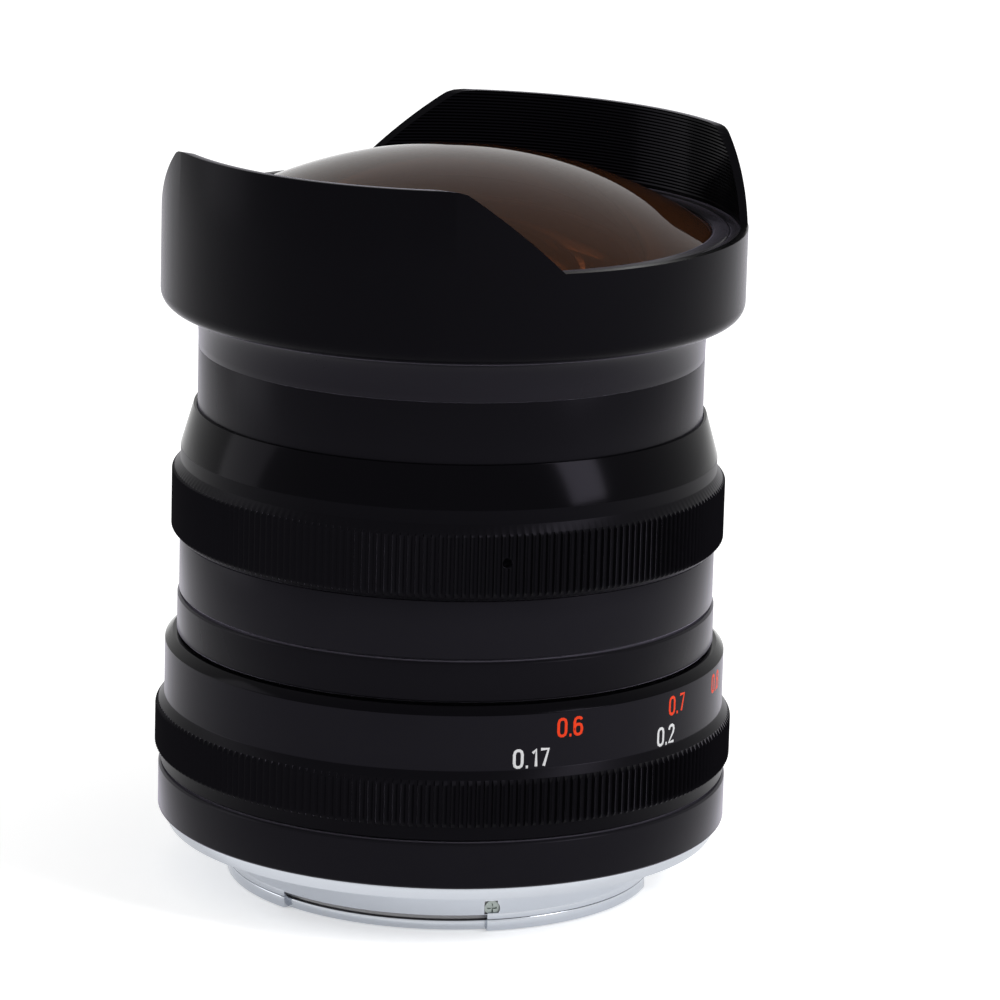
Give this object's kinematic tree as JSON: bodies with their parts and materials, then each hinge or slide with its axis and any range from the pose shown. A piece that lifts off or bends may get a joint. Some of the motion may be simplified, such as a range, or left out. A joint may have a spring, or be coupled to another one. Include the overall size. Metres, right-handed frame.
{
  "type": "fisheye lens",
  "caption": "Manual fisheye camera lens with a two-petal hood, a ribbed focus ring that moves the optics, a ribbed aperture ring coupled to a bladed iris, and a rear bayonet.",
  "frame": {"origin": "centre of the bayonet's rear end, on the optical axis", "axes": "+Z along the optical axis towards the front glass, +Y towards the top of the lens, where the index marks and one hood petal are"},
  "size_m": [0.0738, 0.0738, 0.0956],
  "materials": {
    "black_anodised": "satin black anodised",
    "matte_black": "matt black",
    "bright_mount": "bright satin chrome",
    "steel": "plain steel",
    "blade_steel": "blackened steel",
    "brass": "turned brass, greased",
    "rubber": "matt",
    "coated_glass": "polished, brown to amber coating",
    "glass": "polished"
  },
  "bodies": {
    "mount_body": {"bayonet_mount": "bright_mount", "mount_screws": "steel", "mount_side_screw": "steel", "mount_shim": "steel", "base_ring": "black_anodised", "guide_barrel": "black_anodised", "guide_keys": "steel", "guide_key_screws": "steel", "index_sleeve": "black_anodised", "index_sleeve_screws": "steel", "rear_baffle": "matte_black"},
    "focus_body": {"focus_ring": "black_anodised", "focus_helicoid": "brass", "focus_drive_keys": "steel", "focus_key_screws": "steel"},
    "front_unit": {"moving_barrel": "black_anodised", "front_sleeve": "black_anodised", "click_ball": "steel", "click_spring": "steel", "front_barrel": "black_anodised", "front_barrel_screws": "steel", "hood": "black_anodised", "hood_screws": "steel", "front_cell": "black_anodised", "front_retaining_ring": "black_anodised", "front_seal": "rubber", "glass_2_ring": "black_anodised", "spacer_2_3": "black_anodised", "spacer_3_4": "black_anodised", "rear_cell": "black_anodised", "spacer_8_9": "black_anodised", "spacer_10_11": "black_anodised", "rear_retaining_ring": "black_anodised", "iris_cup": "black_anodised", "iris_retaining_ring": "black_anodised", "glass_1": "coated_glass", "glass_2": "glass", "glass_3": "glass", "glass_4": "glass", "glass_5": "glass", "glass_6": "glass", "glass_7": "glass", "glass_8": "glass", "glass_9": "glass", "glass_10": "glass", "glass_11": "glass"},
    "aperture_body": {"aperture_ring": "black_anodised", "aperture_pin": "steel", "iris_cam_ring": "black_anodised"},
    "blade_body_1": {"iris_blade_1": "blade_steel"},
    "blade_body_2": {"iris_blade_2": "blade_steel"},
    "blade_body_3": {"iris_blade_3": "blade_steel"},
    "blade_body_4": {"iris_blade_4": "blade_steel"},
    "blade_body_5": {"iris_blade_5": "blade_steel"},
    "blade_body_6": {"iris_blade_6": "blade_steel"},
    "blade_body_7": {"iris_blade_7": "blade_steel"},
    "blade_body_8": {"iris_blade_8": "blade_steel"}
  },
  "joints": [
    {"name": "focus_turn", "type": "hinge", "parent": "mount_body", "child": "focus_body", "pos_m": [0, 0, 0.023], "axis": [0, 0, 1], "range_deg": [0, 128.5]},
    {"name": "focus_slide", "type": "slide", "parent": "mount_body", "child": "front_unit", "axis": [0, 0, 1], "range_m": [0, 0.0015]},
    {"name": "aperture_turn", "type": "hinge", "parent": "front_unit", "child": "aperture_body", "pos_m": [0, 0, 0.0494], "axis": [0, 0, 1], "range_deg": [0, 35]},
    {"name": "blade_1_swing", "type": "hinge", "parent": "front_unit", "child": "blade_body_1", "pos_m": [0.015, 0, 0.0478], "axis": [0, 0, 1], "range_deg": [0, 22.7]},
    {"name": "blade_2_swing", "type": "hinge", "parent": "front_unit", "child": "blade_body_2", "pos_m": [0.01061, 0.01061, 0.0478], "axis": [0, 0, 1], "range_deg": [0, 22.7]},
    {"name": "blade_3_swing", "type": "hinge", "parent": "front_unit", "child": "blade_body_3", "pos_m": [0, 0.015, 0.0478], "axis": [0, 0, 1], "range_deg": [0, 22.7]},
    {"name": "blade_4_swing", "type": "hinge", "parent": "front_unit", "child": "blade_body_4", "pos_m": [-0.01061, 0.01061, 0.0478], "axis": [0, 0, 1], "range_deg": [0, 22.7]},
    {"name": "blade_5_swing", "type": "hinge", "parent": "front_unit", "child": "blade_body_5", "pos_m": [-0.015, 0, 0.0478], "axis": [0, 0, 1], "range_deg": [0, 22.7]},
    {"name": "blade_6_swing", "type": "hinge", "parent": "front_unit", "child": "blade_body_6", "pos_m": [-0.01061, -0.01061, 0.0478], "axis": [0, 0, 1], "range_deg": [0, 22.7]},
    {"name": "blade_7_swing", "type": "hinge", "parent": "front_unit", "child": "blade_body_7", "pos_m": [0, -0.015, 0.0478], "axis": [0, 0, 1], "range_deg": [0, 22.7]},
    {"name": "blade_8_swing", "type": "hinge", "parent": "front_unit", "child": "blade_body_8", "pos_m": [0.01061, -0.01061, 0.0478], "axis": [0, 0, 1], "range_deg": [0, 22.7]}
  ],
  "couplings": [
    {"joint": "focus_turn", "follows": "focus_slide", "rad_per_m": 1495.2},
    {"joint": "blade_1_swing", "follows": "aperture_turn", "ratio": 0.64857},
    {"joint": "blade_2_swing", "follows": "aperture_turn", "ratio": 0.64857},
    {"joint": "blade_3_swing", "follows": "aperture_turn", "ratio": 0.64857},
    {"joint": "blade_4_swing", "follows": "aperture_turn", "ratio": 0.64857},
    {"joint": "blade_5_swing", "follows": "aperture_turn", "ratio": 0.64857},
    {"joint": "blade_6_swing", "follows": "aperture_turn", "ratio": 0.64857},
    {"joint": "blade_7_swing", "follows": "aperture_turn", "ratio": 0.64857},
    {"joint": "blade_8_swing", "follows": "aperture_turn", "ratio": 0.64857}
  ]
}
